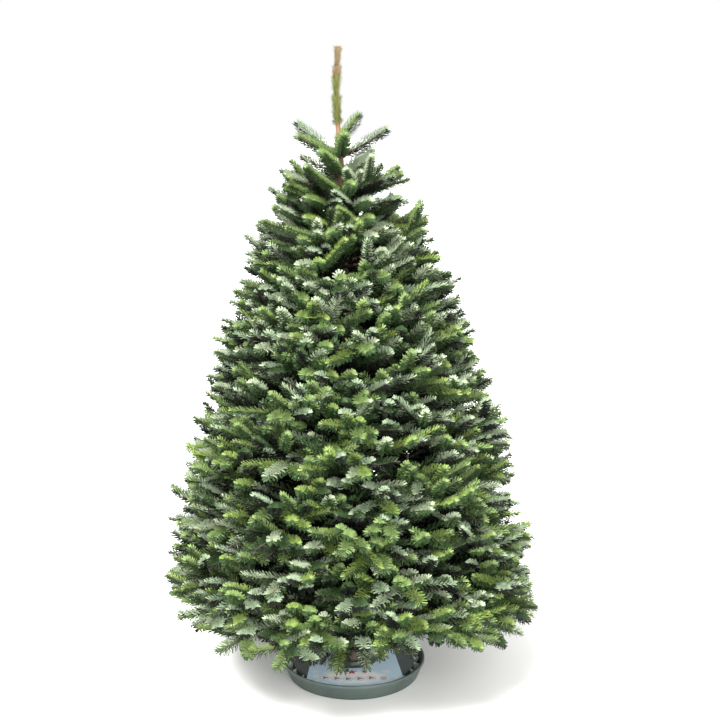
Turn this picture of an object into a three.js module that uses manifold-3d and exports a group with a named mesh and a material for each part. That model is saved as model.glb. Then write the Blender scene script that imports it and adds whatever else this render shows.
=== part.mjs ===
// A cut noble fir, sold as a Christmas tree, 1.65 m tall, standing in a round plastic water tray.
// Millimetres, +Z up. The origin is the centre of the tray's flat underside, and the tree faces -Y.
import * as THREE from "three";
import { mergeVertices } from "three/addons/utils/BufferGeometryUtils.js";
import Module from "manifold-3d";

const GAP = 0.5; // between pieces that touch

// Tree: heights on the trunk, the trunk's taper and lean, and the outline of the crown.
const TREE_TOP = 1650;
const STEM_TOP = 1634;
const TOP_WHORL = 1385;
const LOW_WHORL = 270;
const WHORLS = 10;
const LEAN = 30; // how far the trunk has drifted to -X at the top whorl
const LEADER_BOW = 12;
const BUTT_RADIUS = 32;
const BUTT_FLARE = 4; // swelling at the cut, which fades within the flare's height
const FLARE_HEIGHT = 60;
const NECK_RADIUS = 7;
const TIP_RADIUS = 2.5;
const LEADER_BARE = 72; // bare stem above the top whorl
const SLEEVE_FOOT_RADIUS = 12;
const SLEEVE_TIP_RADIUS = 7.5;
const SLEEVE_CLEARANCE = 1.5; // between the leader and the needles round it
const CROWN_RADIUS = 525; // reach of the longest boughs
const CROWN_TOP_RADIUS = 100;
const CROWN_WAIST = 300; // the crown narrows above this height
const CROWN_SHOULDER = 1500; // and has narrowed to its top radius here
const MASS_SHARE = 0.93; // thickness of a tier of needles over the height between two whorls
const MASSES = 3; // round one whorl
const BOUGH_CLEARANCE = 3; // between the end of a bare bough and its mass
const YOUNG_WHORLS = 2; // below the top whorl: deeply notched, and clad right up to the bark
const NOTCH = 0.2;
const YOUNG_NOTCH = 0.42;
const LOBES = 3; // boughs in one mass

// Tray, with the raised plate in it that the trunk stands through.
const TRAY_RADIUS = 192;
const TRAY_FOOT_RADIUS = 176;
const TRAY_HEIGHT = 46;
const TRAY_WALL = 3.6;
const TRAY_FLOOR = 4;
const PLATE_RADIUS = 164;
const PLATE_HEIGHT = 36;
const COLLAR_RADIUS = 50;
const COLLAR_HEIGHT = 46;
const WELL_RADIUS = BUTT_RADIUS + 6;
const RIBS = 24;
const RIB_THICKNESS = 1.6;
const RIB_DROP = 6; // from the plate's edge to the wall
const RIB_CLEARANCE = 1.5;
const CARD_THICKNESS = 1;
const CARD_BACK = 60; // how far the card reaches behind the trunk's centre
const CARD_EDGE_GAP = 2; // between the card and the tray's wall
const CARD_COLLAR_GAP = 14;
const CARD_LEFT = 228; // degrees, of its front corners and its notch
const CARD_RIGHT = 316;
const CARD_NOTCH = 265;
const NOTCH_RADIUS = 8;
const ROUND_SIDES = 36;

const wasm = await Module();
wasm.setup();

const radians = THREE.MathUtils.degToRad;
const { clamp, lerp } = THREE.MathUtils;

const bark = new THREE.MeshStandardMaterial({ color: 0x6b5443, roughness: 0.9 });
const needles = new THREE.MeshStandardMaterial({ color: 0x4a6a3c, roughness: 0.7 });
const greenPlastic = new THREE.MeshStandardMaterial({ color: 0x3c4a44, roughness: 0.5 });
const paper = new THREE.MeshStandardMaterial({ color: 0xb9dcec, roughness: 0.6 });

// An even value from 0 to 1 that is always the same for the same whole number.
function chance(seed) {
  const wave = Math.sin(seed * 127.1 + 311.7) * 43758.5453;
  return wave - Math.floor(wave);
}

// Centre of the trunk at a height: a straight lean, then the leader's shallow bow.
function trunkCentre(z) {
  const leader = clamp((z - TOP_WHORL) / (TREE_TOP - TOP_WHORL), 0, 1);
  const lean = (LEAN * Math.min(z, TOP_WHORL)) / TOP_WHORL;
  return -lean - LEADER_BOW * Math.sin(0.85 * Math.PI * leader);
}

// Radius of the trunk: a slow taper with a swollen butt, then the thin leader.
function trunkRadius(z) {
  if (z > TOP_WHORL) return lerp(NECK_RADIUS, TIP_RADIUS, (z - TOP_WHORL) / (STEM_TOP - TOP_WHORL));
  const taper = 1 - z / TOP_WHORL;
  return lerp(NECK_RADIUS, BUTT_RADIUS, taper ** 0.9) + BUTT_FLARE * Math.exp(-z / FLARE_HEIGHT);
}

// How far the shoots reach from the trunk where their tips are at this height.
function crownRadius(z) {
  const up = clamp((z - CROWN_WAIST) / (CROWN_SHOULDER - CROWN_WAIST), 0, 1);
  return lerp(CROWN_RADIUS, CROWN_TOP_RADIUS, up ** 1.4);
}

// Moves every corner of a geometry by a function of its position.
function warp(geometry, place) {
  const corners = geometry.getAttribute("position");
  const point = new THREE.Vector3();
  for (let i = 0; i < corners.count; i++) {
    point.fromBufferAttribute(corners, i);
    place(point);
    corners.setXYZ(i, point.x, point.y, point.z);
  }
  return geometry;
}

// A turned solid about +Z from its [radius, height] profile.
function turned(profile, sides) {
  const points = profile.map(([radius, height]) => new THREE.Vector2(radius, height));
  return new THREE.LatheGeometry(points, sides).rotateX(Math.PI / 2);
}

function solidOf(geometry) {
  const bare = geometry.index ? geometry.toNonIndexed() : geometry.clone();
  bare.deleteAttribute("normal");
  bare.deleteAttribute("uv");
  const merged = mergeVertices(bare, 1e-3);
  return new wasm.Manifold(
    new wasm.Mesh({
      numProp: 3,
      vertProperties: merged.attributes.position.array,
      triVerts: new Uint32Array(merged.index.array),
    }),
  );
}

function geometryOf(solid) {
  const mesh = solid.getMesh();
  return new THREE.BufferGeometry()
    .setAttribute("position", new THREE.BufferAttribute(new Float32Array(mesh.vertProperties), 3))
    .setIndex(new THREE.BufferAttribute(new Uint32Array(mesh.triVerts), 1));
}

function named(name, geometry, material) {
  const mesh = new THREE.Mesh(geometry, material);
  mesh.name = name;
  return mesh;
}

// The whorls, numbered 1 at the foot to 10 at the top. The boughs rise at the top and lie level or droop below.
const whorls = Array.from({ length: WHORLS }, (_, i) => {
  const z = lerp(LOW_WHORL, TOP_WHORL, i / (WHORLS - 1));
  const high = z / TOP_WHORL;
  const slope = 0.04 + 0.5 * high ** 2;
  const droop = 0.17 - 0.05 * high;
  const reach = crownRadius(z + crownRadius(z) * (slope - droop));
  return { number: i + 1, z, slope, droop, reach, turn: radians(37 * i + 8) };
});
const SPACING = (TOP_WHORL - LOW_WHORL) / (WHORLS - 1);
const clothedWhorls = whorls.slice(0, -1); // the top whorl has single shoots

function isYoung(whorl) {
  return whorl.number >= WHORLS - YOUNG_WHORLS;
}

// Height of a bough's middle above its root, out along it.
function rise(whorl, radius) {
  const out = radius / whorl.reach;
  return whorl.reach * (whorl.slope * out - whorl.droop * out ** 2);
}

// Where the needles begin: at the bark near the top, and beyond a bare length of bough lower down.
function innerRadius(whorl) {
  const bare = isYoung(whorl) ? 3 : 22 + 105 * (1 - whorl.z / clothedWhorls[WHORLS - YOUNG_WHORLS - 2].z);
  return trunkRadius(whorl.z - SPACING / 2) + bare;
}

function massTurn(whorl, index) {
  return whorl.turn + (index * 2 * Math.PI) / MASSES;
}

function placeOnWhorl(point, whorl, angle, radius, height) {
  point.set(
    trunkCentre(whorl.z) + radius * Math.cos(angle),
    radius * Math.sin(angle),
    whorl.z + rise(whorl, radius) + height,
  );
}

// A third of a tier of needles: a block bent round the trunk, thick inside and thin at its lobed edge.
function needleMass(whorl, index) {
  const seed = whorl.number * 10 + index;
  const inner = innerRadius(whorl);
  const notch = isYoung(whorl) ? YOUNG_NOTCH : NOTCH;
  const halfAngle = radians(180 / MASSES) - 6 / inner;
  const thickness = SPACING * MASS_SHARE;
  const reaches = Array.from({ length: LOBES }, (_, k) => 0.9 + 0.1 * chance(seed + 0.37 * k));
  const block = new THREE.BoxGeometry(2, 1, 1, 2 * LOBES, 5, 1);
  return warp(block, (point) => {
    const side = point.x;
    const out = point.y + 0.5;
    const across = ((side + 1) * LOBES) / 2;
    const lobe = 0.5 - 0.5 * Math.cos(2 * Math.PI * across);
    const nearest = clamp(Math.floor(across), 0, LOBES - 1);
    const reach = whorl.reach * reaches[nearest] * (1 - notch * (1 - lobe));
    const radius = lerp(inner, reach, out);
    const round = 0.62 + 0.38 * Math.sqrt(1 - out ** 2);
    const uneven = 0.85 + 0.15 * Math.sin(5 * side + 9 * out + seed);
    const edge = 1 - 0.35 * Math.abs(side) ** 6;
    const share = point.z > 0 ? 0.56 : -0.44;
    const angle = massTurn(whorl, index) - side * halfAngle;
    placeOnWhorl(point, whorl, angle, radius, share * thickness * round * uneven * edge);
  });
}

// A bare bough from the bark to where its needles begin, tapering and following the tier's rise.
function bough(whorl, index) {
  const start = trunkRadius(whorl.z) + GAP;
  const end = innerRadius(whorl) - BOUGH_CLEARANCE;
  const thick = 3 + 0.0115 * whorl.reach;
  const limb = new THREE.CylinderGeometry(0.8 * thick, 1.15 * thick, 1, 7, 2);
  return warp(limb, (point) => {
    const { x, y, z } = point;
    placeOnWhorl(point, whorl, massTurn(whorl, index), lerp(start, end, y + 0.5), z);
    point.x += x * Math.sin(massTurn(whorl, index));
    point.y -= x * Math.cos(massTurn(whorl, index));
  });
}

// A single shoot with its needles: a round brush, narrow at its foot and blunt at its tip.
function shoot(foot, turn, lift, length, radius) {
  const brush = new THREE.CylinderGeometry(1, 1, 1, 8, 5);
  const along = new THREE.Vector3(Math.cos(turn) * Math.cos(lift), Math.sin(turn) * Math.cos(lift), Math.sin(lift));
  const toward = new THREE.Quaternion().setFromUnitVectors(new THREE.Vector3(0, 1, 0), along);
  return warp(brush, (point) => {
    const out = point.y + 0.5;
    const girth = Math.hypot(point.x, point.z);
    const full = radius * (0.3 + 0.7 * Math.sin(Math.PI * (0.9 * out + 0.02)) ** 0.6);
    const grow = girth > 0 ? full / girth : 1;
    point.set(point.x * grow, length * out, point.z * grow).applyQuaternion(toward).add(foot);
  });
}

function makeTrunk() {
  const low = TRAY_FLOOR + GAP;
  const profile = [[0, low]];
  const bands = 2 * WHORLS;
  for (let i = 0; i <= bands; i++) {
    const z = lerp(low, STEM_TOP, i / bands);
    profile.push([trunkRadius(z), z]);
  }
  profile.push([0, STEM_TOP]);
  return warp(turned(profile, 10), (point) => {
    point.x += trunkCentre(point.z);
  });
}

// The needles pressed up along the leader, a sleeve that closes over its tip.
function makeLeaderNeedles() {
  const low = TOP_WHORL + LEADER_BARE;
  const steps = 8;
  const outer = [];
  const hole = [];
  for (let i = 0; i <= steps; i++) {
    const z = lerp(low, STEM_TOP, i / steps);
    outer.push([lerp(SLEEVE_FOOT_RADIUS, SLEEVE_TIP_RADIUS, i / steps) - 2.5 * (i === 0), z]);
    hole.unshift([trunkRadius(z) + SLEEVE_CLEARANCE, z]);
  }
  const top = STEM_TOP + GAP;
  const cap = [[5, TREE_TOP], [0, TREE_TOP], [0, top], [TIP_RADIUS, top]];
  const profile = [...outer, ...cap, ...hole, outer[0]];
  return warp(turned(profile, 8), (point) => {
    point.x += trunkCentre(point.z);
  });
}

// Shoots of the top whorl, and one more that stands beside the leader: [turn, lift, length, radius, foot height].
const TOP_SHOOTS = [
  [165, 40, 120, 15, 0],
  [215, 26, 116, 15, -4],
  [275, 36, 90, 15, 0],
  [338, 32, 118, 15, 0],
  [90, 30, 118, 15, -3],
  [10, 58, 60, 11, 48],
];

function makeTopShoot([turn, lift, length, radius, up]) {
  const z = TOP_WHORL + up;
  const clear = trunkRadius(z) + 1.1 * radius;
  const foot = new THREE.Vector3(
    trunkCentre(z) + clear * Math.cos(radians(turn)),
    clear * Math.sin(radians(turn)),
    z,
  );
  return shoot(foot, radians(turn), radians(lift), length, radius);
}

// Inner radius of the tray's sloping wall at a height.
function wallRadius(z) {
  return lerp(TRAY_FOOT_RADIUS, TRAY_RADIUS, z / TRAY_HEIGHT) - TRAY_WALL;
}

function makeTray() {
  return turned(
    [
      [0, 0],
      [TRAY_FOOT_RADIUS - 4, 0],
      [TRAY_FOOT_RADIUS, 3],
      [TRAY_RADIUS, TRAY_HEIGHT - 6],
      [TRAY_RADIUS, TRAY_HEIGHT],
      [wallRadius(TRAY_HEIGHT), TRAY_HEIGHT],
      [wallRadius(TRAY_FLOOR), TRAY_FLOOR],
      [0, TRAY_FLOOR],
    ],
    ROUND_SIDES,
  );
}

// A flat ring with a collar round the trunk's foot.
function makePlate() {
  const low = TRAY_FLOOR + GAP;
  return turned(
    [
      [WELL_RADIUS, low],
      [PLATE_RADIUS, low],
      [PLATE_RADIUS, PLATE_HEIGHT - 2],
      [PLATE_RADIUS - 2, PLATE_HEIGHT],
      [COLLAR_RADIUS, PLATE_HEIGHT],
      [COLLAR_RADIUS - 4, COLLAR_HEIGHT],
      [WELL_RADIUS, COLLAR_HEIGHT],
      [WELL_RADIUS, low],
    ],
    ROUND_SIDES,
  );
}

// Ribs that slope down from the plate's edge to the tray's wall, on a low band round the plate.
function makeRibs() {
  const low = TRAY_FLOOR + GAP;
  const start = PLATE_RADIUS + GAP;
  const outerTop = PLATE_HEIGHT - RIB_DROP;
  const side = new THREE.Shape([
    new THREE.Vector2(start, low),
    new THREE.Vector2(wallRadius(low) - RIB_CLEARANCE, low),
    new THREE.Vector2(wallRadius(outerTop) - RIB_CLEARANCE, outerTop),
    new THREE.Vector2(start, PLATE_HEIGHT - 1),
  ]);
  let joined = solidOf(
    turned(
      [
        [start, low],
        [start + 2, low],
        [start + 2, low + 6],
        [start, low + 6],
        [start, low],
      ],
      ROUND_SIDES,
    ),
  );
  for (let i = 0; i < RIBS; i++) {
    const rib = new THREE.ExtrudeGeometry(side, { depth: RIB_THICKNESS, bevelEnabled: false })
      .translate(0, 0, -RIB_THICKNESS / 2)
      .rotateX(Math.PI / 2)
      .rotateZ(((i + 0.5) * 2 * Math.PI) / RIBS);
    joined = joined.add(solidOf(rib));
  }
  return geometryOf(joined);
}

// A printed card laid over the front of the plate, cut round the collar, with a half-round notch at its front edge.
function makeCard() {
  const height = PLATE_HEIGHT + GAP;
  const edge = wallRadius(height) - CARD_EDGE_GAP;
  const left = radians(CARD_LEFT);
  const right = radians(CARD_RIGHT);
  const cutRadius = COLLAR_RADIUS + CARD_COLLAR_GAP;
  const cutAngle = Math.asin(CARD_BACK / cutRadius);
  const notch = radians(CARD_NOTCH);
  const notchHalf = NOTCH_RADIUS / edge;
  const inward = notch + Math.PI;
  const outline = new THREE.Shape();
  outline.absarc(0, 0, edge, left, notch - notchHalf, false);
  outline.absarc(edge * Math.cos(notch), edge * Math.sin(notch), NOTCH_RADIUS, inward + 1.45, inward - 1.45, true);
  outline.absarc(0, 0, edge, notch + notchHalf, right, false);
  outline.lineTo(edge * Math.cos(right) - 22, CARD_BACK);
  outline.absarc(0, 0, cutRadius, cutAngle, Math.PI - cutAngle, true);
  outline.lineTo(edge * Math.cos(left) + 14, CARD_BACK);
  return new THREE.ExtrudeGeometry(outline, {
    depth: CARD_THICKNESS,
    bevelEnabled: false,
    curveSegments: 8,
  }).translate(0, 0, height);
}

const tree = new THREE.Group();
tree.add(named("trunk", makeTrunk(), bark));
tree.add(named("leader_needles", makeLeaderNeedles(), needles));
TOP_SHOOTS.forEach((place, i) => tree.add(named(`top_shoot_${i + 1}`, makeTopShoot(place), needles)));
for (const whorl of clothedWhorls) {
  for (let i = 0; i < MASSES; i++) {
    const label = `${whorl.number}${"abc"[i]}`;
    tree.add(named(`needles_${label}`, needleMass(whorl, i), needles));
    if (!isYoung(whorl)) tree.add(named(`bough_${label}`, bough(whorl, i), bark));
  }
}

const stand = new THREE.Group();
stand.add(named("stand_tray", makeTray(), greenPlastic));
stand.add(named("stand_plate", makePlate(), greenPlastic));
stand.add(named("stand_ribs", makeRibs(), greenPlastic));
stand.add(named("stand_card", makeCard(), paper));

const christmasTree = new THREE.Group();
christmasTree.add(tree, stand);
export default christmasTree;
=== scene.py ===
"""Looks of a cut noble fir, sold as a Christmas tree, standing in a round moulded water tray.

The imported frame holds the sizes: trunk, bare boughs, masses of needles and tray. Here each mass becomes
boughs, side shoots and needles, which grow on from the trunk by a seeded branching rule. Lengths are in
metres, and bearings are angles round the trunk from +x towards +y.
"""

import math

import bmesh
import bpy
import numpy as np
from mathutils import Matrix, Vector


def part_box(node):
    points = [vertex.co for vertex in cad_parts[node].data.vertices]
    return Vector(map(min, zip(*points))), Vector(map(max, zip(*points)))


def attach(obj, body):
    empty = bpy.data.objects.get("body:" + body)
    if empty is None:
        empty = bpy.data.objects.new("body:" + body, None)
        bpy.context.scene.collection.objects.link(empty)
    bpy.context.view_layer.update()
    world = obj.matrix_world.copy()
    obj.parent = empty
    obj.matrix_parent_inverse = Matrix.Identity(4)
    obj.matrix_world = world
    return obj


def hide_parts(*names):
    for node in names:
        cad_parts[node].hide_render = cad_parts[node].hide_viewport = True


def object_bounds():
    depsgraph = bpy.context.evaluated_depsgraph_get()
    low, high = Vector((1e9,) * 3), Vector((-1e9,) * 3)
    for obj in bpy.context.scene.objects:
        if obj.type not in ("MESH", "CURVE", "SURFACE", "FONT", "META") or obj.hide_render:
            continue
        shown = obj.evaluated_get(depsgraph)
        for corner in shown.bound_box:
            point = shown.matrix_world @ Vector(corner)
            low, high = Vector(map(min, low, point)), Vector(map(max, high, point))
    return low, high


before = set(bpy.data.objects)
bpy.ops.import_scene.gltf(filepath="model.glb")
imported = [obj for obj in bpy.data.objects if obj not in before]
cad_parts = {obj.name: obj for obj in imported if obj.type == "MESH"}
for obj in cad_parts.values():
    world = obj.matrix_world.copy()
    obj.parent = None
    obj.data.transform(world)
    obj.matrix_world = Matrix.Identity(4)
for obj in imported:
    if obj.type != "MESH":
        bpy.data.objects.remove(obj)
cad_low, cad_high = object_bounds()
rng = np.random.default_rng(5)

MM = 0.001

# Camera, a little lower than the tree's tip: place, degrees below the level, and lens in millimetres.
CAMERA_PLACE = (0.0176, -3.2, 1.499)
CAMERA_DOWN = 11.28
CAMERA_LENS = 63.13

# The bearing of the tree's front, where the camera stands.
FRONT = -0.5 * math.pi

# Growth of one year, in metres, on a bough, on its side branches and on their side shoots.
YEAR_ON_BOUGH = 0.095
YEAR_ON_SIDE = 0.098
YEAR_ON_SHOOT = 0.084
# A bough is clad for its last years, and its side branches reach these shares of the way out, youngest
# first.
YEARS_CLAD = 3
SPRAY_FULLNESS = (0.92, 0.85, 0.6)
# Radius of a one-year side shoot's bare twig.
SHOOT_RADIUS = 0.001
# Boughs shorter than this keep their needles right up to the trunk.
SHORT_BOUGH = 0.27
# Height of the crown's underside above the floor.
UNDERSIDE_HEIGHT = 0.2
# Shoots above this height belong to the top whorl, whose needles are longer.
WHORL_HEIGHT = 1.37
# How far needles stand out past a bough's tip.
TIP_ROOM = 0.014
# The crown is narrower by this share half way between two tiers, and single tips pass its outline by up to
# this distance.
WAIST = 0.07
STRAY = 0.022
# Needles on the whole tree, and the most triangles in one piece of them.
NEEDLES = 450_000
PIECE_FACES = 199_000
# A needle's length and the share of it below its bend; half its width on the crown's outside and on the
# leader, and how much is added to that deep inside.
NEEDLE_LENGTH = 0.0235
BEND = 0.58
NEEDLE_HALF = 0.0018
LEADER_HALF = 0.0016
INNER_HALF = 0.0016
GOLDEN_TURN = math.pi * (3 - math.sqrt(5))

# Needle tones, as sRGB: grey bloom on the young growth, fresh green beside it and deep green. The deep tone
# is also painted shade inside the crown and under shoots, and the shade tone is near-black painted shade.
TONES = {
    "frost": "#909c80",
    "bluegreen": "#7f9074",
    "green": "#6b804a",
    "fresh": "#718544",
    # deep green of some sprays, also dealt out as painted shade inside the crown and under shoots
    "deep": "#2f4324",
    # near-black painted shade, for needles deepest in the crown and under shoots
    "shade": "#0c120a",
    "leader": "#7a8146",
    "leader_tip": "#917f5e",
}
# Painted shade under the shoots: the darker tone that the underside of a shoot of each tone is given; those
# not named keep their own.
UNDERSIDE = {"frost": "deep", "bluegreen": "shade", "green": "deep", "fresh": "deep", "deep": "shade"}


def linear(colour):
    """sRGB hex to linear red, green, blue and alpha."""
    parts = [int(colour[i : i + 2], 16) / 255 for i in (1, 3, 5)]
    return [c / 12.92 if c <= 0.04045 else ((c + 0.055) / 1.055) ** 2.4 for c in parts] + [1.0]


def unit(vectors):
    """Vectors scaled to length 1, along the last axis."""
    return vectors / np.maximum(np.linalg.norm(vectors, axis=-1, keepdims=True), 1e-12)


# --- Camera, light and floor ------------------------------


def add_camera():
    """A long lens at eye height, looking down a little, so that the tray's rim shows as an ellipse."""
    lens = bpy.data.cameras.new("camera")
    lens.lens = CAMERA_LENS
    lens.sensor_width = 36
    camera = bpy.data.objects.new("camera", lens)
    camera.location = CAMERA_PLACE
    camera.rotation_euler = (math.radians(90 - CAMERA_DOWN), 0, 0)
    bpy.context.scene.collection.objects.link(camera)
    bpy.context.scene.camera = camera


def add_broad_light(name, power, from_upright, from_front, spread):
    """A far, broad light: its angles from the upright and round from the front, and how wide it looks."""
    light = bpy.data.lights.new(name, "SUN")
    light.energy = power
    light.angle = math.radians(spread)
    lamp = bpy.data.objects.new(name, light)
    lamp.rotation_euler = (math.radians(from_upright), 0, math.radians(from_front))
    bpy.context.scene.collection.objects.link(lamp)


def add_studio():
    """White surroundings, one broad key light from the upper left and a weaker, lower one from the right."""
    world = bpy.data.worlds.new("studio")
    world.use_nodes = True
    feed(world.node_tree, world.node_tree.nodes["Background"], Color=(1, 1, 1, 1), Strength=1.0)
    bpy.context.scene.world = world
    bpy.context.scene.view_settings.view_transform = "Standard"
    add_broad_light("key", 10.0, 34, -32, 24)
    add_broad_light("fill", 4.0, 66, 18, 50)


# --- Mesh and material helpers ----------------------------


def add_mesh(name, points, face_sets, material, smooth=False):
    """An object from points and arrays of faces, each array with its own number of corners to a face."""
    corners = np.concatenate([faces.ravel() for faces in face_sets]).astype(np.int32)
    sizes = np.concatenate([np.full(len(faces), faces.shape[1]) for faces in face_sets])
    mesh = bpy.data.meshes.new(name)
    mesh.vertices.add(len(points))
    mesh.vertices.foreach_set("co", np.ascontiguousarray(points, np.float32).ravel())
    mesh.loops.add(len(corners))
    mesh.loops.foreach_set("vertex_index", corners)
    mesh.polygons.add(len(sizes))
    mesh.polygons.foreach_set("loop_start", (np.cumsum(sizes) - sizes).astype(np.int32))
    mesh.polygons.foreach_set("use_smooth", np.full(len(sizes), smooth))
    mesh.update(calc_edges=True)
    mesh.materials.append(material)
    thing = bpy.data.objects.new(name, mesh)
    bpy.context.scene.collection.objects.link(thing)
    return thing


def settle(piece, slot, *replaced):
    """Every piece rides on the one body and may stand for CAD nodes. The slot argument is not used."""
    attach(piece, "root")
    if replaced:
        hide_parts(*replaced)


def grid_faces(rows, columns, closed):
    """Quads of a grid of points, row by row, joined round its columns where it is closed."""
    across = np.arange(columns if closed else columns - 1)
    start = (np.arange(rows - 1)[:, None] * columns + across).ravel()
    right = (np.arange(rows - 1)[:, None] * columns + (across + 1) % columns).ravel()
    return np.stack([start, right, right + columns, start + columns], 1)


def fan(ring, point):
    """Triangles from each side of a ring of point numbers to one more point that closes it."""
    return np.stack([ring, np.roll(ring, -1), np.full(len(ring), point)], 1)


def feed(tree, node, **links):
    """Puts sockets or values into a shader node's inputs, by name, or by number after an underscore."""
    for key, value in links.items():
        socket = node.inputs[int(key[1:]) if key[0] == "_" else key.replace("_", " ")]
        if isinstance(value, bpy.types.NodeSocket):
            tree.links.new(value, socket)
        else:
            socket.default_value = value


def add_node(tree, kind, settings=None, **links):
    """A shader node with its settings and what goes into it."""
    made = tree.nodes.new(kind)
    for key, value in (settings or {}).items():
        setattr(made, key, value)
    feed(tree, made, **links)
    return made


def new_material(name, roughness, ior=1.45):
    """A material of one Principled shader; returns it with its tree and shader."""
    material = bpy.data.materials.new(name)
    material.use_nodes = True
    tree = material.node_tree
    shader = tree.nodes["Principled BSDF"]
    feed(tree, shader, Roughness=roughness, IOR=ior)
    return material, tree, shader


def ramp(tree, factor, *stops):
    """Colours along a factor: each stop is a place from 0 to 1 and an sRGB hex value."""
    made = add_node(tree, "ShaderNodeValToRGB", Fac=factor)
    marks = made.color_ramp.elements
    while len(marks) < len(stops):
        marks.new(0.5)
    for mark, (place, colour) in zip(marks, stops):
        mark.position = place
        mark.color = linear(colour)
    return made.outputs["Color"]


# --- Materials --------------------------------------------


def needle_wax(tone):
    """Fir needle: a thin waxy leaf, matt with bloom. One plain colour for each tone, dealt out by spray."""
    material, tree, shader = new_material("needle_wax_" + tone, 0.55, 1.42)
    feed(tree, shader, Base_Color=linear(TONES[tone]), Specular_IOR_Level=0.35)
    return material


def young_bark():
    """Young fir bark: thin and smooth, grey-brown at the butt and salmon brown on the last years' growth,
    with resin blisters and fine cross cracks a few millimetres apart."""
    material, tree, shader = new_material("young_fir_bark", 0.8)
    where = add_node(tree, "ShaderNodeTexCoord").outputs["Object"]
    height = add_node(tree, "ShaderNodeSeparateXYZ", Vector=where).outputs["Z"]
    up = add_node(tree, "ShaderNodeMapRange", Value=height, From_Min=0.2, From_Max=1.4).outputs["Result"]
    base = ramp(tree, up, (0.0, "#453c34"), (0.6, "#54453a"), (0.85, "#6f5240"), (1.0, "#875d44"))
    patches = add_node(tree, "ShaderNodeTexNoise", Vector=where, Scale=38.0, Detail=5.0)
    speckle = ramp(tree, patches.outputs["Fac"], (0.3, "#3d352f"), (0.7, "#8d7a6b"))
    mixed = add_node(tree, "ShaderNodeMix", {"data_type": "RGBA"}, _0=0.3, _6=base, _7=speckle)
    stretched = add_node(tree, "ShaderNodeMapping", Vector=where, Scale=(1.0, 1.0, 3.5))
    along = stretched.outputs["Vector"]
    cracks = add_node(tree, "ShaderNodeTexNoise", Vector=along, Scale=160.0, Detail=6.0).outputs["Fac"]
    bump = add_node(tree, "ShaderNodeBump", Height=cracks, Strength=0.6, Distance=0.0012)
    feed(tree, shader, Base_Color=mixed.outputs[2], Normal=bump.outputs["Normal"])
    return material


def twig_bark():
    """Bark of the side branches: brown, downy and dull, with fine grain along the wood."""
    material, tree, shader = new_material("twig_bark", 0.85)
    where = add_node(tree, "ShaderNodeTexCoord").outputs["Object"]
    grain = add_node(tree, "ShaderNodeTexNoise", Vector=where, Scale=90.0, Detail=4.0)
    colour = ramp(tree, grain.outputs["Fac"], (0.3, "#463c31"), (0.6, "#6c5f50"), (0.8, "#8b7f70"))
    bump = add_node(tree, "ShaderNodeBump", Height=grain.outputs["Fac"], Strength=0.4, Distance=0.0006)
    feed(tree, shader, Base_Color=colour, Normal=bump.outputs["Normal"])
    return material


def bud_resin():
    """Bud scales under clear resin: red-brown, with a wet gloss and a waxy pale bloom in patches."""
    material, tree, shader = new_material("resin_coated_bud", 0.3, 1.53)
    where = add_node(tree, "ShaderNodeTexCoord").outputs["Object"]
    bloom = add_node(tree, "ShaderNodeTexNoise", Vector=where, Scale=400.0, Detail=2.0).outputs["Fac"]
    feed(tree, shader, Base_Color=ramp(tree, bloom, (0.4, "#4f382a"), (0.7, "#7c6a58")))
    return material


def moulded_plastic(name, dark, pale):
    """Injection moulded polypropylene, dark grey-green: fine spark-eroded grain and a soft, uneven sheen."""
    material, tree, shader = new_material(name, 0.5, 1.49)
    where = add_node(tree, "ShaderNodeTexCoord").outputs["Object"]
    cloud = add_node(tree, "ShaderNodeTexNoise", Vector=where, Scale=14.0, Detail=3.0)
    colour = ramp(tree, cloud.outputs["Fac"], (0.3, dark), (0.7, pale))
    grit = add_node(tree, "ShaderNodeTexNoise", Vector=where, Scale=900.0, Detail=2.0)
    rough = add_node(tree, "ShaderNodeMapRange", Value=grit.outputs["Fac"], To_Min=0.38, To_Max=0.62)
    bump = add_node(tree, "ShaderNodeBump", Height=grit.outputs["Fac"], Strength=0.25, Distance=0.0002)
    feed(tree, shader, Base_Color=colour, Roughness=rough.outputs["Result"], Normal=bump.outputs["Normal"])
    return material


def coated_card():
    """Coated printed card: pale blue with a cloudy white middle, smooth with a low sheen. The ramp runs out
    from a point 115 mm in front of the trunk, in units of 125 mm across and 59 mm back."""
    material, tree, shader = new_material("coated_pale_blue_card", 0.42, 1.5)
    where = add_node(tree, "ShaderNodeTexCoord").outputs["Object"]
    middle = add_node(tree, "ShaderNodeMapping", Vector=where, Location=(0, 1.95, 0), Scale=(8, 17, 0))
    length = {"operation": "LENGTH"}
    distance = add_node(tree, "ShaderNodeVectorMath", length, _0=middle.outputs["Vector"]).outputs["Value"]
    cloud = add_node(tree, "ShaderNodeTexNoise", Vector=where, Scale=30.0, Detail=3.0).outputs["Fac"]
    edge = add_node(tree, "ShaderNodeMath", {"operation": "MULTIPLY_ADD"}, _0=cloud, _1=0.5, _2=distance)
    feed(tree, shader, Base_Color=ramp(tree, edge.outputs["Value"], (0.75, "#ffffff"), (1.4, "#cdeafb")))
    return material


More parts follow.
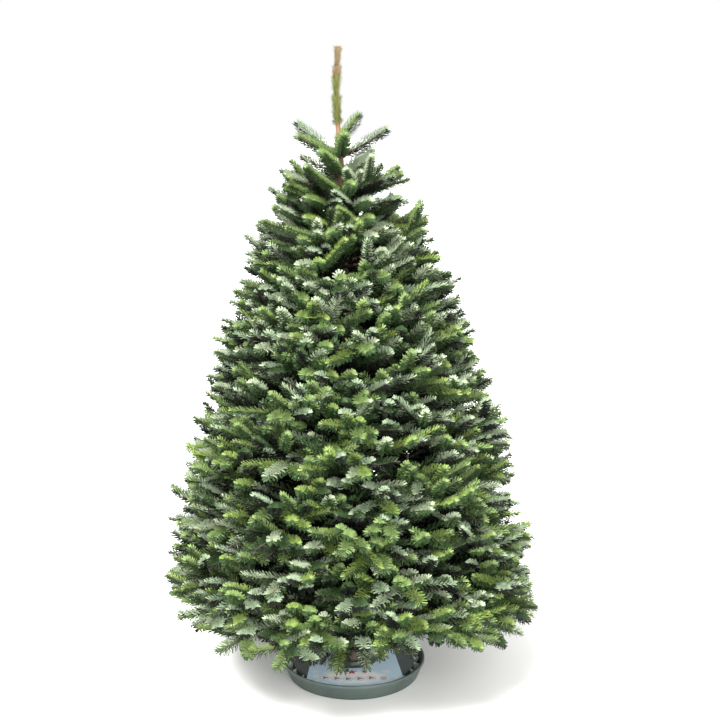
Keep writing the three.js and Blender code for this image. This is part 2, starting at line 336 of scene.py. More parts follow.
def plain_ink(name, colour):
    """Printing ink on the card: a thin film with the card's own sheen, faintly mottled as it soaked in."""
    material, tree, shader = new_material(name, 0.42, 1.5)
    where = add_node(tree, "ShaderNodeTexCoord").outputs["Object"]
    soak = add_node(tree, "ShaderNodeTexNoise", Vector=where, Scale=350.0, Detail=2.0).outputs["Fac"]
    tint = add_node(tree, "ShaderNodeMapRange", Value=soak, To_Min=0.92, To_Max=1.0).outputs["Result"]
    darker = {"data_type": "RGBA", "blend_type": "MULTIPLY"}
    film = add_node(tree, "ShaderNodeMix", darker, _0=1.0, _6=linear(colour), _7=tint)
    sheen = add_node(tree, "ShaderNodeMapRange", Value=soak, To_Min=0.36, To_Max=0.5)
    feed(tree, shader, Base_Color=film.outputs[2], Roughness=sheen.outputs["Result"])
    return material


def pale_floor():
    """A plain pale studio floor, matt paint."""
    material, tree, shader = new_material("pale_floor_paint", 0.9)
    feed(tree, shader, Base_Color=linear("#e4e4e1"))
    return material


# --- What the frame says ----------------------------------


def corners_of(name):
    """All corners of a CAD node, as an array of points."""
    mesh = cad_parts[name].data
    flat = np.empty(len(mesh.vertices) * 3, np.float32)
    mesh.vertices.foreach_get("co", flat)
    return flat.reshape(-1, 3).astype(float)


def read_stem():
    """Heights, centres and radii of the trunk's rings: corners at one height are a ring, and its middle and
    widest corner give the centre and radius."""
    corners = corners_of("trunk")
    heights = np.unique(corners[:, 2].round(4))
    rings = [np.unique(corners[np.abs(corners[:, 2] - z) < 1e-4].round(6), axis=0) for z in heights]
    centres = np.array([(ring[:, :2].min(0) + ring[:, :2].max(0)) / 2 for ring in rings])
    radii = [np.linalg.norm(ring[:, :2] - centre, axis=1).max() for ring, centre in zip(rings, centres)]
    return heights, centres, np.array(radii)


STEM_HEIGHTS, STEM_CENTRES, STEM_RADII = read_stem()


def stem_centre(height):
    """Centre of the trunk at a height or heights."""
    across = np.interp(height, STEM_HEIGHTS, STEM_CENTRES[:, 0])
    back = np.interp(height, STEM_HEIGHTS, STEM_CENTRES[:, 1])
    return np.stack([across, back, np.asarray(height, float)], -1)


def stem_radius(height):
    """Radius of the trunk at a height or heights."""
    return np.interp(height, STEM_HEIGHTS, STEM_RADII)


def read_mass(name):
    """A mass of needles as its boughs see it: the quadratic of height over distance from the trunk that runs
    through its middle, its bearing, half its spread and how far each third of it reaches."""
    corners = corners_of(name)
    away = corners - stem_centre(corners[:, 2].mean())
    distance = np.hypot(away[:, 0], away[:, 1])
    bearing = math.atan2(away[:, 1].sum(), away[:, 0].sum())
    turn = np.angle(np.exp(1j * (np.arctan2(away[:, 1], away[:, 0]) - bearing)))
    spread = np.abs(turn).max()
    thirds = [distance[np.abs(turn - side * spread) < spread / 3].max() for side in (-2 / 3, 0, 2 / 3)]
    middle = np.polyfit(distance, corners[:, 2], 2)
    return {"middle": middle, "bearing": bearing, "spread": spread, "thirds": thirds}


def tier_of(name):
    """The tier of a mass of needles: the number between its name's first part and its letter."""
    return int(name.removeprefix("needles_")[:-1])


# --- Growing the tree -------------------------------------

# What has grown: stretches of wood clad in needles, side branches as thin tubes, and main boughs.
shoots = []
twigs = []
boughs = []
UP = np.array([0.0, 0.0, 1.0])

# The masses, tier by tier from the lowest, and where the crown's outermost tips are.
MASSES = {name: read_mass(name) for name in sorted(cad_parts) if name.startswith("needles_")}
TIER_NUMBERS = sorted({tier_of(name) for name in MASSES})
TIERS = [[MASSES[name] for name in MASSES if tier_of(name) == tier] for tier in TIER_NUMBERS]
MIDDLES = [np.mean([mass["middle"] for mass in tier], axis=0) for tier in TIERS]
REACHES = [np.mean([mass["thirds"] for mass in tier]) for tier in TIERS]
CROWN_HEIGHTS = np.array([np.polyval(middle, reach) for middle, reach in zip(MIDDLES, REACHES)])
# The crown is a little wider from side to side than from front to back.
FLATNESS = (cad_high[1] - cad_low[1]) / (cad_high[0] - cad_low[0])


def crown_reach(height):
    """How far the crown reaches from the trunk at a height: from tier to tier, then to the tip, with a
    shallow waist half way between each tier and the next."""
    marks = [*CROWN_HEIGHTS, STEM_HEIGHTS[-1]]
    tier = np.interp(height, marks, np.arange(len(marks)))
    return np.interp(height, marks, [*REACHES, 0.0]) * (1 - WAIST * np.sin(np.pi * tier) ** 2)


def fitted(start, heading, length):
    """A shoot's length, cut back by up to half where its tip would pass the crown's outline by more than it
    may stray."""
    tip = start + length * heading
    away = (tip - stem_centre(tip[2]))[:2] * (FLATNESS, 1)
    over = math.hypot(*away) + TIP_ROOM - crown_reach(tip[2]) - STRAY * rng.random() ** 2
    return length - min(max(over, 0), 0.5 * length)


def turned(vector, axis, angle):
    """vector turned about a unit axis, by Rodrigues' formula."""
    along = axis * (vector @ axis) * (1 - math.cos(angle))
    return vector * math.cos(angle) + np.cross(axis, vector) * math.sin(angle) + along


def pick(tones):
    """A tone by its share."""
    return rng.choice(list(tones), p=list(tones.values()))


def tones_at(height):
    """Shares of the tones in a spray: each spray leans to one tone, with more bloom high up and more
    fresh green low down."""
    high = min(1.0, max(0.0, height / 1.3))
    shares = {
        "frost": 0.09 + 0.27 * high,
        "bluegreen": 0.24,
        "green": 0.34,
        "fresh": 0.3 - 0.22 * high,
        "deep": 0.18,
    }
    shares[pick({key: value / sum(shares.values()) for key, value in shares.items()})] += 0.5
    total = sum(shares.values())
    return {key: value / total for key, value in shares.items()}


def clothe(start, heading, up, length, lift, tone, girth):
    """Marks a stretch of wood as clad in needles."""
    shoots.append((start, heading, up, length, lift, tone, girth))


def grow_year(start, heading, up, length, tone, thick, lift=None):
    """One year's shoot: a short arc that lifts towards up, with its twig and needles. Where no lift is
    given, one is drawn and the length is fitted to the crown. Returns its end and its heading there."""
    if lift is None:
        lift = rng.normal(0.08, 0.05)
        length = fitted(start, heading, length)
    end = start + length * (heading + lift * up)
    clothe(start, heading, up, length, lift, tone, 0.6 * thick)
    twigs.append((start, start + length * (0.5 * heading + 0.25 * lift * up), end, thick, 0.55 * thick))
    return end, unit(heading + 2 * lift * up)


def side_heading(heading, up, angle, lift):
    """A side branch's heading: its parent's, turned by an angle in the spray's plane, then lifted."""
    return unit(turned(heading, up, angle) + lift * up)


def grow_side(start, heading, up, length, tones):
    """A side branch of some length: as many years' growth as it takes, with a pair of side shoots at the
    end of each year but the last, and now and then one that stands up from the spray."""
    years = max(1, round(length / YEAR_ON_SIDE))
    for year in range(years):
        left = years - year
        stretch = length / years * rng.uniform(0.9, 1.1)
        start, heading = grow_year(start, heading, up, stretch, pick(tones), 0.0008 + 0.0005 * left)
        if left == 1:
            continue
        for side in (-1, 1):
            toward = side_heading(heading, up, side * rng.normal(0.75, 0.1), rng.normal(0.1, 0.1))
            grow_year(start, toward, up, YEAR_ON_SHOOT * rng.uniform(0.8, 1.25), pick(tones), SHOOT_RADIUS)
        if rng.random() < 0.3:
            toward = unit(heading + rng.uniform(0.5, 1.0) * up)
            grow_year(start, toward, up, YEAR_ON_SHOOT * rng.uniform(0.7, 1.0), pick(tones), SHOOT_RADIUS)


def grow_bough(root_height, bearing, reach, middle, tilt, years=YEARS_CLAD):
    """A main bough: a tapering limb out along its mass's middle, tilted from it a little and curved a little
    sideways and up, bare inside the crown. At each of the last years' ends, counted from its tip, a pair of
    side branches reaches out almost as far as the bough itself, with a narrower pair of shoots between them
    and one that stands up."""
    reach -= TIP_ROOM
    share = np.linspace(0, 1, 13)
    base = stem_centre(root_height)
    radius = stem_radius(root_height) * 0.8
    distance = radius + (reach - radius) * share
    angle = bearing + rng.normal(0.0, 0.06) * share**1.5
    lift = np.polyval(middle, distance) - np.polyval(middle, 0) + tilt * distance + 0.03 * reach * share**4
    path = np.stack([
        base[0] + distance * np.cos(angle),
        base[1] + distance * np.sin(angle),
        root_height + lift,
    ], 1)
    girth = (0.002 + 0.0105 * reach) * (1 - 0.82 * share**0.8)
    boughs.append((path, girth))
    roll = rng.normal(0, 0.2) * min(1, root_height / 0.5)
    tones = tones_at(path[-1, 2])
    end = path[-1]
    for year in range(1, years + 1):
        left = year * YEAR_ON_BOUGH * rng.uniform(0.92, 1.05)
        place = 1 - left / (reach - radius)
        if place < 0.12:
            break
        node = np.array([np.interp(place, share, path[:, axis]) for axis in range(3)])
        heading = unit(end - node)
        across = unit(np.cross(heading, UP))
        up = turned(np.cross(across, heading), heading, roll)
        thick = np.interp(place, share, girth)
        clothe(node, heading, up, np.linalg.norm(end - node), 0.0, pick(tones), thick)
        for side in (-1, 1):
            turn = rng.normal(0.82, 0.09)
            full = SPRAY_FULLNESS[min(year, YEARS_CLAD) - 1]
            length = full * left / math.cos(turn) * rng.uniform(0.85, 1.05)
            grow_side(node, side_heading(heading, up, side * turn, rng.normal(0.1, 0.1)), up, length, tones)
            if year < YEARS_CLAD and rng.random() < 0.6 * (reach > 0.2):
                toward = side_heading(heading, up, side * rng.normal(0.38, 0.08), rng.normal(0.12, 0.22))
                length = YEAR_ON_SHOOT * rng.uniform(0.85, 1.15)
                grow_year(node, toward, up, length, pick(tones), SHOOT_RADIUS)
        if rng.random() < 0.6:
            toward = unit(heading + rng.uniform(0.4, 1.0) * up + rng.normal(0, 0.3) * across)
            grow_year(node, toward, up, YEAR_ON_SHOOT * rng.uniform(0.8, 1.1), pick(tones), SHOOT_RADIUS)
        end = node
    if reach < SHORT_BOUGH:
        heading = unit(end - path[0])
        up = np.cross(unit(np.cross(heading, UP)), heading)
        clothe(path[0], heading, up, np.linalg.norm(end - path[0]), 0.0, pick(tones), girth[0])


def grow_masses():
    """Three boughs through each mass, one to each of its lobes, two rings at the crown's foot, rings of
    smaller boughs between the tiers, and a ring of short, steeper ones above the highest tier."""
    for mass in MASSES.values():
        root = np.polyval(mass["middle"], 0)
        for side, reach in zip((-2 / 3, 0, 2 / 3), mass["thirds"]):
            bearing = mass["bearing"] + side * mass["spread"] + rng.normal(0, 0.05)
            tilt = rng.normal(0.0, 0.05)
            height = root + rng.normal(0, 0.008)
            grow_bough(height, bearing, reach * rng.uniform(0.96, 1.02), mass["middle"], tilt)
    spacing = np.array([0, 0, MIDDLES[1][2] - MIDDLES[0][2]])
    grow_foot(MIDDLES[0], 0.5, 11)
    grow_foot(MIDDLES[0] - 0.25 * spacing, 0.0, 10)
    for low in range(len(TIERS) - 1):
        for step in (1 / 3, 2 / 3):
            middle = MIDDLES[low] * (1 - step) + MIDDLES[low + 1] * step
            reach = REACHES[low] * (1 - step) + REACHES[low + 1] * step
            grow_between(middle, reach, 8 if reach > 0.3 else 6)
    grow_between(MIDDLES[-1] + 0.45 * spacing + np.array([0, 0.15, 0]), 0.72 * REACHES[-1], 5)


def grow_between(middle, reach, count):
    """A ring of smaller boughs, a little shorter than the tiers beside them."""
    first = rng.uniform(0, 2 * np.pi)
    for k in range(count):
        bearing = first + (k + rng.uniform(-0.25, 0.25)) * 2 * math.pi / count
        root = np.polyval(middle, 0) + rng.normal(0, 0.01)
        grow_bough(root, bearing, reach * rng.uniform(0.86, 1.0), middle, rng.normal(0.0, 0.05))


def grow_foot(middle, step, count):
    """A ring of long boughs at the crown's foot, the first of them a step round from the tray's front. They
    spread level at the sides and are held up a little at the front, where the card shows below them."""
    for k in range(count):
        bearing = FRONT + (k + step + rng.uniform(-0.15, 0.15)) * 2 * math.pi / count
        front = max(0.0, -math.sin(bearing)) ** 3
        reach = REACHES[0] * (1 / FLATNESS - 0.07 * front) * rng.uniform(0.95, 1.03)
        root = np.polyval(middle, 0) + rng.normal(0, 0.005)
        grow_bough(root, bearing, reach, middle, 0.02 + 0.055 * front + rng.normal(0.0, 0.015), 4)


def grow_apron():
    """Short boughs that hang low over the front of the tray and hide the trunk's foot: how far round from
    the front each is, its reach and its tilt."""
    root = np.polyval(MIDDLES[0], 0)
    hanging = [
        (-0.5, 0.34, -0.1),
        (-0.2, 0.3, -0.42),
        (-0.08, 0.3, -0.5),
        (0.02, 0.27, -0.62),
        (0.12, 0.29, -0.52),
        (0.5, 0.34, -0.1),
    ]
    for side, reach, tilt in hanging:
        grow_bough(root, FRONT + side, reach, MIDDLES[0], tilt, 2)


def grow_top():
    """The shoots of the top whorl, each from the near end to the far end of its CAD solid, and the leader,
    whose short needles stand close along the last year's stem, green below and brown towards the tip."""
    names = sorted(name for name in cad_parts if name.startswith("top_shoot_"))
    for name in names:
        corners = corners_of(name)
        order = np.argsort(np.hypot(*(corners - stem_centre(corners[:, 2]))[:, :2].T))
        foot = corners[order[:12]].mean(0)
        tip = corners[order[-12:]].mean(0)
        heading = unit(tip - foot)
        up = unit(UP - heading * (UP @ heading))
        begin = foot - heading * 0.012
        tones = {"frost": 0.15, "bluegreen": 0.55, "green": 0.3}
        grow_year(begin, heading, up, np.linalg.norm(tip - begin) * 0.97, pick(tones), 0.0034, 0.06)
    low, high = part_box("leader_needles")
    stretches, green_stretches = 16, 10
    marks = np.linspace(low.z, high.z - 0.004, stretches + 1)
    for part, (bottom, top) in enumerate(zip(marks, marks[1:])):
        begin, end = stem_centre(bottom), stem_centre(top)
        tone = "leader" if part + rng.uniform(-5, 5) < green_stretches else "leader_tip"
        girth = stem_radius(bottom) + rng.uniform(-0.002, 0.004)
        clothe(begin, unit(end - begin), np.array([0, -1.0, 0]), top - bottom, 0.0, tone, girth)


# --- Needles ----------------------------------------------


def shoot_depths(places):
    """How deep in the crown each place is: the crown's reach at its height less its distance from the trunk,
    or 1.2 times its height above the crown's underside where that is less."""
    away = places[:, :2] - stem_centre(places[:, 2])[:, :2]
    inward = crown_reach(places[:, 2]) - 1.6 * TIP_ROOM - np.hypot(away[:, 0], away[:, 1])
    return np.maximum(0, np.minimum(inward, 1.2 * (places[:, 2] - UNDERSIDE_HEIGHT)))


def needle_counts(middle, depth, wanted):
    """How many needles each shoot bears, by how many are wanted on it. Wood deeper than the needled skin is
    bare, and the skin is thicker at the crown's foot and ragged on its inside."""
    skin = np.where(middle[:, 2] < 0.34, 0.4, 0.27)
    bare = (depth > skin) | (rng.random(len(depth)) < (depth - skin + 0.11) / 0.14)
    wanted = wanted * ~bare
    return np.round(wanted * NEEDLES / wanted.sum()).astype(int)


def needle_tones(names, leader, depth, owner, turn):
    """Every needle's tone: its shoot's, or a darker one that is painted shade, deep in the crown and on a
    shoot's underside.
    """
    # Painted shade: needles deep in the crown take the deep tone, and those deeper still the near-black
    # shade tone.
    deep = ~leader & (rng.uniform(0.05, 0.13, len(names)) < depth)
    shaded = ~leader & (rng.uniform(0.1, 0.17, len(names)) < depth)
    tones = np.where(shaded, "shade", np.where(deep, "deep", names))[owner]
    # Painted shade: needles on a shoot's underside take the darker tone listed for their shoot's tone.
    below = np.cos(turn) < rng.normal(-0.15, 0.15, len(owner))
    tones_with_painted_shade = tones
    for tone, under in UNDERSIDE.items():
        tones_with_painted_shade = np.where(below & (tones == tone), under, tones_with_painted_shade)
    return tones_with_painted_shade


def grow_needles():
    """Foot, bend and tip of every needle, half its width across its flat, its tone and whether it is bent.
    Needles stand round a shoot by the golden angle, squeezed away from its underside. Each leaves the twig
    at a wide splay and bends forwards a little past half its length, and both lessen towards the shoot's
    blunt tip. Needles are closer and narrower on the crown's outside, where they are bent, and sparse and
    straight inside it."""
    start, heading, up, length, lift, names, girth = (np.array(column) for column in zip(*shoots))
    leader = np.char.startswith(names, "leader")
    middle = start + 0.7 * length[:, None] * heading
    depth = shoot_depths(middle)
    outer = np.clip((0.12 - depth) / 0.08, 0, 1)
    dense = 1 + 0.9 * np.clip((middle[:, 2] - 1.15) / 0.15, 0, 1)
    wanted = length * (0.2 + 0.8 * outer) * dense * np.where(leader, 2.6, 1.0)
    counts = needle_counts(middle, depth, wanted)

    # The shoot that each needle is on, how far along it and how far round from its upper side.
    owner = np.repeat(np.arange(len(shoots)), counts)
    index = np.arange(len(owner)) - np.repeat(np.cumsum(counts) - counts, counts)
    total = len(owner)
    along = (index + rng.random(total)) / counts[owner]
    turn = 0.91 * np.angle(np.exp(1j * (index * GOLDEN_TURN + owner * 2.1 + rng.normal(0, 0.1, total))))

    # Its place on the twig, the headings of its two parts, its length and half its width.
    leading = leader[owner]
    rise = (lift[owner] * along)[:, None] * up[owner]
    place = start[owner] + (length[owner] * along)[:, None] * (heading[owner] + rise)
    tangent = unit(heading[owner] + 2 * rise)
    side = unit(np.cross(tangent, up[owner]))
    upright = np.cross(side, tangent)
    outward = upright * np.cos(turn)[:, None] + side * np.sin(turn)[:, None]
    above = np.clip(np.cos(turn), 0, 1)
    splay = (1.28 - 0.15 * above) * (1 - 0.35 * along**6) + rng.normal(0, 0.07, total)
    splay = np.where(leading, rng.normal(1.0, 0.3, total), splay)
    ahead = splay - np.where(leading, 0.3, 0.62 - 0.3 * along**6)
    lean = tangent * np.cos(splay)[:, None] + outward * np.sin(splay)[:, None]
    lean_on = unit(tangent * np.cos(ahead)[:, None] + outward * np.sin(ahead)[:, None] + 0.12 * upright)
    size = NEEDLE_LENGTH * (1 - 0.1 * above) * (0.74 + 0.26 * np.minimum(1, along / 0.3))
    size *= 1 - 0.42 * along**5
    size *= rng.uniform(0.88, 1.08, total) * np.where(middle[owner, 2] > WHORL_HEIGHT, 1.15, 1.0)
    size *= np.where(leading, rng.uniform(0.36, 0.6, total), 1.0)
    foot = place + outward * girth[owner][:, None]
    bend = foot + lean * (BEND * size)[:, None]
    tip = bend + lean_on * ((1 - BEND) * size)[:, None]
    half = np.where(leading, LEADER_HALF, NEEDLE_HALF + INNER_HALF * (1 - outer[owner]))
    half /= dense[owner] ** 0.4
    flat = unit(np.cross(lean, outward)) * half[:, None]
    tones = needle_tones(names, leader, depth, owner, turn)
    bent = ((depth < 0.005) | (middle[:, 2] > 1.15))[owner]
    return foot, bend, tip, flat, tones, bent


def make_needles(replaced):
    """Needles of one tone are joined in pieces of no more than a set number of faces. A bent needle has two
    corners at its foot, two at its bend and a point; a straight one has two at its foot and two at its blunt
    tip. Both are a little narrower at the foot."""
    foot, bend, tip, flat, tones, bent = grow_needles()
    for tone in TONES:
        mine = np.flatnonzero(tones == tone)
        mine = mine[np.argsort(~bent[mine], kind="stable")]
        load = np.cumsum(np.where(bent[mine], 3, 2))
        for part in range(math.ceil(load[-1] / PIECE_FACES)):
            batch = mine[(load > part * PIECE_FACES) & (load <= (part + 1) * PIECE_FACES)]
            five, four = batch[bent[batch]], batch[~bent[batch]]
            wide = np.stack([
                foot[five] - 0.8 * flat[five], foot[five] + 0.8 * flat[five],
                bend[five] + flat[five], bend[five] - flat[five], tip[five],
            ], 1)
            plain = np.stack([
                foot[four] - 0.8 * flat[four], foot[four] + 0.8 * flat[four],
                tip[four] + 0.75 * flat[four], tip[four] - 0.75 * flat[four],
            ], 1)
            first = np.arange(len(five))[:, None] * 5
            last = len(five) * 5 + np.arange(len(four))[:, None] * 4
            quads = np.concatenate([first + np.arange(4), last + np.arange(4)])
            points = np.concatenate([wide.reshape(-1, 3), plain.reshape(-1, 3)])
            ends = first + np.array([3, 2, 4])
            piece = add_mesh(f"needles_{tone}_{part + 1}", points, [quads, ends], needle_wax(tone))
            settle(piece, "needles", *replaced)


def make_buds(material):
    """A resinous bud at the end of each outer shoot: a spindle of two square pyramids, base to base."""
    middles = np.array([middle for _, middle, _, _, _ in twigs])
    ends = np.array([end for _, _, end, _, _ in twigs])
    heading = unit(ends - middles)
    shown = shoot_depths(ends) < 0.05
    ends, heading = ends[shown], heading[shown]
    side = unit(np.cross(heading, UP))
    upright = np.cross(side, heading)
    corners = [(0, 0, -1), (1, 0, 0.6), (0, 1, 0.6), (-1, 0, 0.6), (0, -1, 0.6), (0, 0, 4)]
    radius = 0.0017
    points = np.stack([ends + radius * (x * side + y * upright + z * heading) for x, y, z in corners], 1)
    below = [[0, 1, 2], [0, 2, 3], [0, 3, 4], [0, 4, 1]]
    above = [[5, 2, 1], [5, 3, 2], [5, 4, 3], [5, 1, 4]]
    faces = (np.arange(len(ends))[:, None, None] * len(corners) + np.array(below + above)).reshape(-1, 3)
    settle(add_mesh("buds", points.reshape(-1, 3), [faces], material, smooth=True), "bark")


# --- Wood -------------------------------------------------


def tube_mesh(paths, radii, sides):
    """Closed tubes, all with the same number of rings. Each ring is a circle across its path's direction,
    and a point beyond each end closes the tube."""
    count, rings = radii.shape
    tangent = unit(np.gradient(paths, axis=1))
    level = np.where(np.abs(tangent[..., 2:]) > 0.95, np.array([1.0, 0.0, 0.0]), UP)
    across = unit(np.cross(tangent, level))
    upright = np.cross(across, tangent)
    turn = np.arange(sides) * 2 * np.pi / sides
    circle = across[:, :, None] * np.cos(turn)[:, None] + upright[:, :, None] * np.sin(turn)[:, None]
    skin = paths[:, :, None] + circle * radii[..., None, None]
    tail = paths[:, :1] - tangent[:, :1] * radii[:, :1, None] * 0.3
    nose = paths[:, -1:] + tangent[:, -1:] * radii[:, -1:, None] * 0.8
    points = np.concatenate([skin.reshape(count, -1, 3), tail, nose], 1)
    around = np.arange(sides)
    quads = grid_faces(rings, sides, True)[:, ::-1]
    tail_fan = fan(around, rings * sides)
    nose_fan = fan((rings - 1) * sides + around, rings * sides + 1)[:, [1, 0, 2]]
    fans = np.concatenate([tail_fan, nose_fan])
    first = (np.arange(count) * (rings * sides + 2))[:, None, None]
    return points.reshape(-1, 3), [(quads + first).reshape(-1, 4), (fans + first).reshape(-1, 3)]


def make_twigs(material):
    """All side branches and shoots, as thin tubes of three rings and four sides."""
    paths = np.array([[begin, middle, end] for begin, middle, end, _, _ in twigs])
    radii = np.array([[thick, (thick + thin) / 2, thin] for _, _, _, thick, thin in twigs])
    points, faces = tube_mesh(paths, radii, 4)
    settle(add_mesh("twigs", points, faces, material, smooth=True), "bark")


def make_boughs(material):
    """Main boughs, tapering from a swollen foot, with low ripples along them for knuckles."""
    paths = np.array([path for path, _ in boughs])
    radii = np.array([radius for _, radius in boughs])
    share = np.linspace(0, 1, radii.shape[1])
    ripple = 0.08 * np.sin(share * 41 + np.arange(len(boughs))[:, None] * 1.7)
    points, faces = tube_mesh(paths, radii * (1 + ripple + 0.35 * np.exp(-share / 0.03)), 9)
    names = [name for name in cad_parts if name.startswith("bough_")]
    settle(add_mesh("bough_bark", points, faces, material, smooth=True), "bark", *names)


def make_trunk(material):
    """The trunk's skin on a grid of heights and turns: the CAD trunk's radius, plus long shallow flutes,
    fine cracks, a swollen collar at each tier of boughs and many low resin blisters."""
    rows, columns = 420, 56
    height = np.linspace(STEM_HEIGHTS[0], STEM_HEIGHTS[-1], rows)[:, None]
    turn = np.arange(columns) * 2 * np.pi / columns
    radius = np.repeat(stem_radius(height), columns, 1)
    flutes = 0.02 * np.sin(3 * turn + 4 * height) + 0.015 * np.sin(7 * turn - 9 * height)
    cracks = 0.012 * np.sin(23 * turn + 6 * np.sin(31 * height))
    cracks = cracks * np.sin(170 * height + 2 * np.sin(5 * turn))
    domes = np.sin(11 * turn + 37 * height) * np.sin(83 * height - 5 * turn)
    blisters = 0.03 * np.clip(domes, 0.5, 1) - 0.015
    roots = np.array([path[0, 2] for path, _ in boughs])
    beyond = height - np.unique(roots.round(1))[None]
    collars = 0.1 * np.exp(-((beyond / 0.012) ** 2)).sum(1, keepdims=True)
    radius = radius * (1 + flutes + cracks + blisters + collars)
    centre = stem_centre(height[:, 0])[:, None]
    skin = centre + np.stack([radius * np.cos(turn), radius * np.sin(turn), np.zeros_like(radius)], -1)
    ends = np.array([centre[0, 0], centre[-1, 0] + UP * 2 * MM])
    points = np.concatenate([skin.reshape(-1, 3), ends])
    around = np.arange(columns)
    foot_fan = fan(around, rows * columns)[:, [1, 0, 2]]
    tip_fan = fan((rows - 1) * columns + around, rows * columns + 1)
    faces = [grid_faces(rows, columns, True), np.concatenate([foot_fan, tip_fan])]
    settle(add_mesh("trunk_bark", points, faces, material, smooth=True), "bark", "trunk")


# --- Stand ------------------------------------------------


def rounded(profile):
    """A profile of [radius, height, corner radius] with each corner turned by a curve of its own radius, in
    four steps: a parabola between the points where an arc would leave the two sides."""
    points = []
    count = len(profile)
    steps = 4
    for k in range(count):
        here = np.array(profile[k][:2])
        before, after = np.array(profile[k - 1][:2]), np.array(profile[(k + 1) % count][:2])
        if profile[k][2] == 0 or k in (0, count - 1):
            points.append(here)
            continue
        back, on = unit(before - here), unit(after - here)
        half = math.acos(np.clip(back @ on, -1, 1)) / 2
        most = 0.49 * min(np.linalg.norm(before - here), np.linalg.norm(after - here))
        reach = min(profile[k][2] / math.tan(half), most)
        for t in np.linspace(0, 1, steps + 1):
            points.append(here + back * reach * (1 - t) ** 2 + on * reach * t**2)
    return np.array(points)


def turned_mesh(profile):
    """A profile of radius and height swept about the upright axis. It starts and ends on the axis, or ends
    where it starts."""
    sides = 160
    turn = np.arange(sides) * 2 * np.pi / sides
    ring = np.stack([np.cos(turn), np.sin(turn)], 1)
    skin = np.concatenate([
        profile[:, None, :1] * ring,
        np.repeat(profile[:, None, 1:], sides, 1),
    ], 2)
    return skin.reshape(-1, 3), grid_faces(len(profile), sides, True)


def make_lathed(name, profile, material, *replaced):
    """A smooth round piece of the stand, swept from its profile and welded."""
    points, faces = turned_mesh(profile)
    piece = add_mesh(name, points, [faces], material, smooth=True)
    welded(piece)
    settle(piece, "stand_plastic", *replaced)
    return piece


def line_inside(piece, material, radii, top):
    """Gives the inner faces below a height their own material: those nearer the axis than a slope that goes
    from the first radius at the floor to the second at that height."""
    middles = np.empty(len(piece.data.polygons) * 3, np.float32)
    piece.data.polygons.foreach_get("center", middles)
    middles = middles.reshape(-1, 3)
    height = middles[:, 2]
    inward = np.hypot(middles[:, 0], middles[:, 1]) < np.interp(height, [0, top], radii)
    inside = inward & (height > 1 * MM) & (height < top)
    piece.data.materials.append(material)
    piece.data.polygons.foreach_set("material_index", inside.astype(np.int32))


def welded(piece):
    """Merges the points that meet on the axis or at a seam, so that the skin is closed, and turns all faces
    outwards."""
    shell = bmesh.new()
    shell.from_mesh(piece.data)
    bmesh.ops.remove_doubles(shell, verts=shell.verts, dist=1e-6)
    bmesh.ops.recalc_face_normals(shell, faces=shell.faces)
    shell.to_mesh(piece.data)
    shell.free()


def make_stand():
    """The tray with its rolled rim, the plate with its collar, and the fins between them. The inside of the
    tray is painted nearly black as shade, and the fins are painted pale as a highlight."""
    material = moulded_plastic("moulded_grey_green_plastic", "#3c4743", "#47544f")
    # Painted shade: a near-black copy of the plastic for the inside of the tray.
    painted_shade_plastic = moulded_plastic("moulded_plastic_painted_shade", "#141817", "#1d2321")
    # Painted highlight: a pale copy of the plastic for the fins, as if their edges catch the light.
    painted_highlight_plastic = moulded_plastic("moulded_plastic_painted_highlight", "#98a39d", "#b4bdb8")
    _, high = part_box("stand_tray")
    radius, top = high.x, high.z
    foot = radius - 16 * MM
    wall, floor = 3.6 * MM, 4 * MM
    tray = make_lathed("tray", rounded([
        [0, 0, 0],
        [foot - 8 * MM, 0, 0],
        [foot - 3 * MM, 0, 2 * MM],
        [foot, 3 * MM, 2 * MM],
        [radius - 2.2 * MM, top - 9 * MM, 1 * MM],
        [radius, top - 8 * MM, 1 * MM],
        [radius, top, 1.8 * MM],
        [radius - wall - 0.6 * MM, top, 1.8 * MM],
        [foot - wall, floor, 4 * MM],
        [0, floor, 0],
    ]), material, "stand_tray")
    # The inner faces of the tray take the painted shade.
    line_inside(tray, painted_shade_plastic, (foot - 1 * MM, radius - 2 * MM), top - 2 * MM)
    low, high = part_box("stand_plate")
    edge, collar = high.x, high.z
    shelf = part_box("stand_card")[0].z - 0.5 * MM
    well = 38 * MM
    make_lathed("plate", rounded([
        [well, collar, 0],
        [well, low.z, 0],
        [edge, low.z, 0],
        [edge, shelf - 1.2 * MM, 2 * MM],
        [edge - 9 * MM, shelf - 0.2 * MM, 2 * MM],
        [edge - 11 * MM, shelf - 1.4 * MM, 1 * MM],
        [70 * MM, shelf, 6 * MM],
        [50 * MM, shelf + 1 * MM, 4 * MM],
        [46 * MM, collar, 2 * MM],
        [well, collar, 0],
    ]), material, "stand_plate")
    # The fins take the pale painted highlight.
    make_fins(painted_highlight_plastic, edge, shelf, foot - wall)


